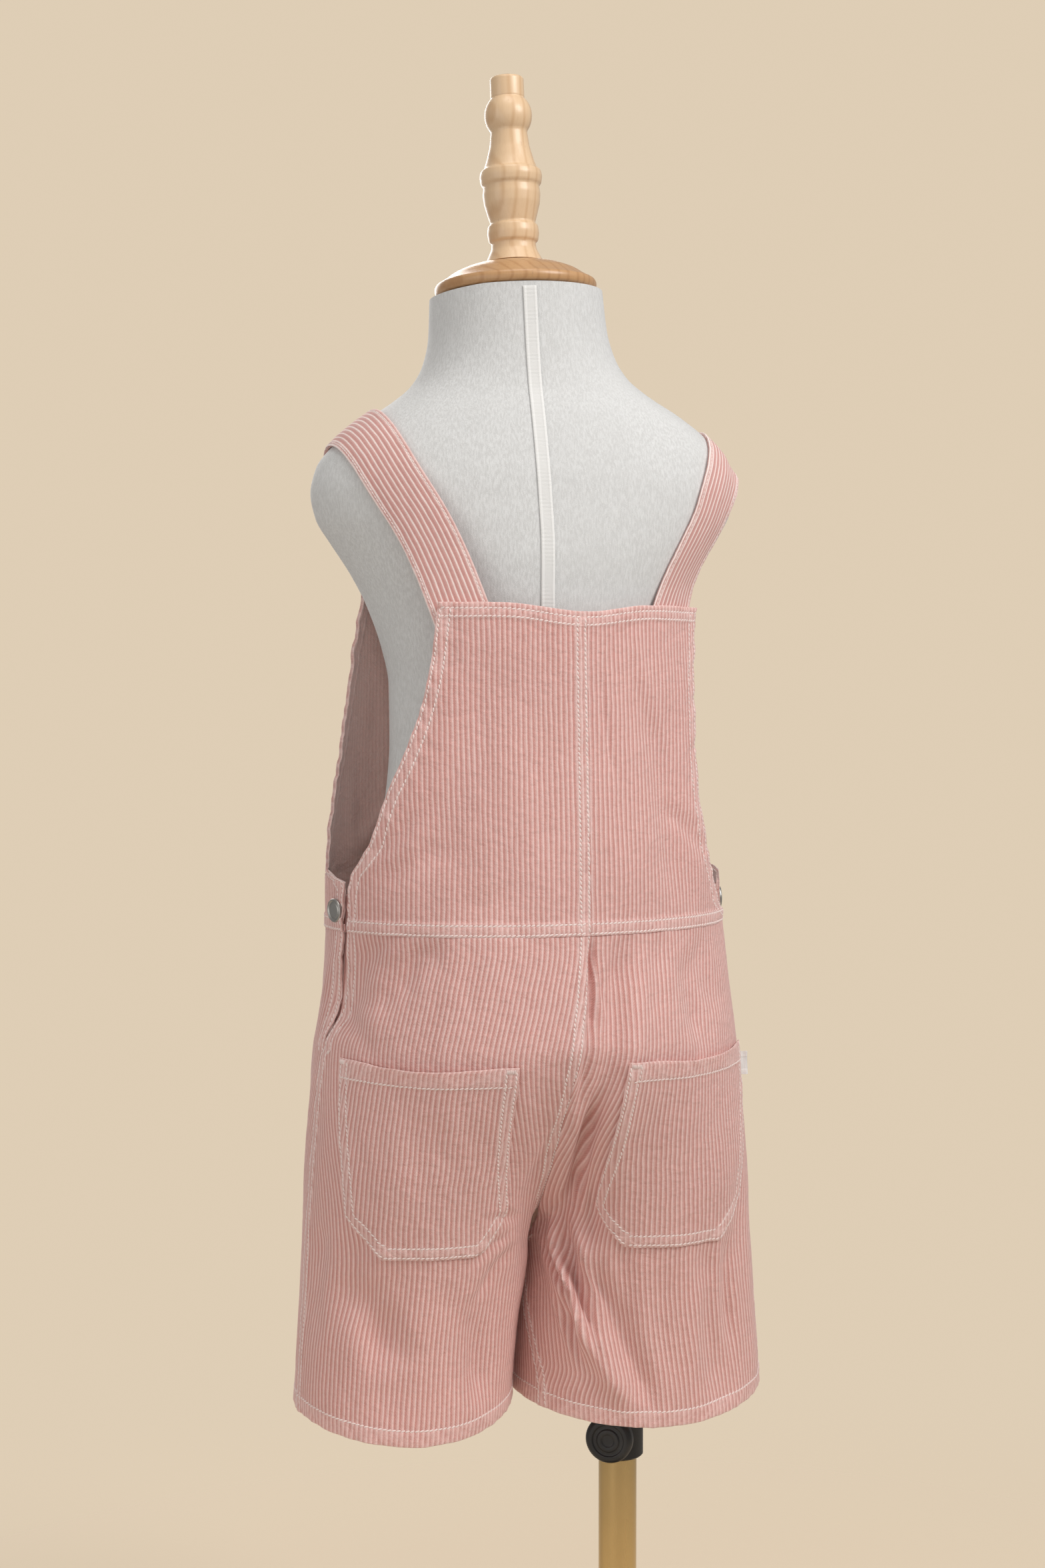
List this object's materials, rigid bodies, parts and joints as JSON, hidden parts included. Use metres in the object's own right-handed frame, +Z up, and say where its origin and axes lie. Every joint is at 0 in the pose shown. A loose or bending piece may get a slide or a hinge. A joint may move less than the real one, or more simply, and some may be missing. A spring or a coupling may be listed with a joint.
{
  "type": "child's striped dungaree shorts on a limbless dress form",
  "caption": "Child's striped cotton dungaree shorts with bib, shoulder straps and patch pockets, on a limbless dress form with a turned wooden neck block, pole and round base.",
  "frame": {"origin": "centre of the base's underside, on the pole's axis", "axes": "+Z up along the pole; the garment's front faces -Y, so the wearer's left is +X"},
  "size_m": [0.3627, 0.3, 1.177],
  "materials": {
    "striped_twill": "pink cotton twill with fine pale upright stripes, soft and washed",
    "strap_twill": "deeper rose twill with thin white stripes along the strap",
    "form_velvet": "short pale grey-white velvet over a firm form",
    "tape": "white woven tape",
    "tab": "white satin ribbon, blank",
    "wood": "pale honey turned wood, satin lacquer",
    "nickel": "nickel-plated steel",
    "brass": "polished brass-coloured tube",
    "black_plastic": "black, softly shining",
    "black_steel": "black powder coat"
  },
  "bodies": {
    "stand": {"base": "black_steel", "pole": "brass"},
    "form": {"back_bib_left": "striped_twill", "back_bib_right": "striped_twill", "front_bib": "striped_twill", "back_leg_left": "striped_twill", "back_leg_right": "striped_twill", "front_leg_left": "striped_twill", "front_leg_right": "striped_twill", "pocket_left": "striped_twill", "pocket_right": "striped_twill", "side_facing_left": "striped_twill", "side_facing_right": "striped_twill", "strap_left": "strap_twill", "strap_right": "strap_twill", "side_tab": "tab", "side_button_left": "nickel", "side_button_right": "nickel", "strap_button_left": "nickel", "strap_button_right": "nickel", "form_torso": "form_velvet", "centre_tape": "tape", "neck_cap": "wood", "finial": "wood", "sleeve": "black_steel", "clamp_collar": "black_plastic"},
    "knob": {"clamp_knob": "black_plastic"}
  },
  "joints": [
    {"name": "height_slide", "type": "slide", "parent": "stand", "child": "form", "axis": [0, 0, 1], "range_m": [-0.1, 0.1]},
    {"name": "knob_turn", "type": "hinge", "parent": "form", "child": "knob", "pos_m": [0, 0, 0.3005], "axis": [0.5299, 0.848, 0], "continuous": true}
  ]
}
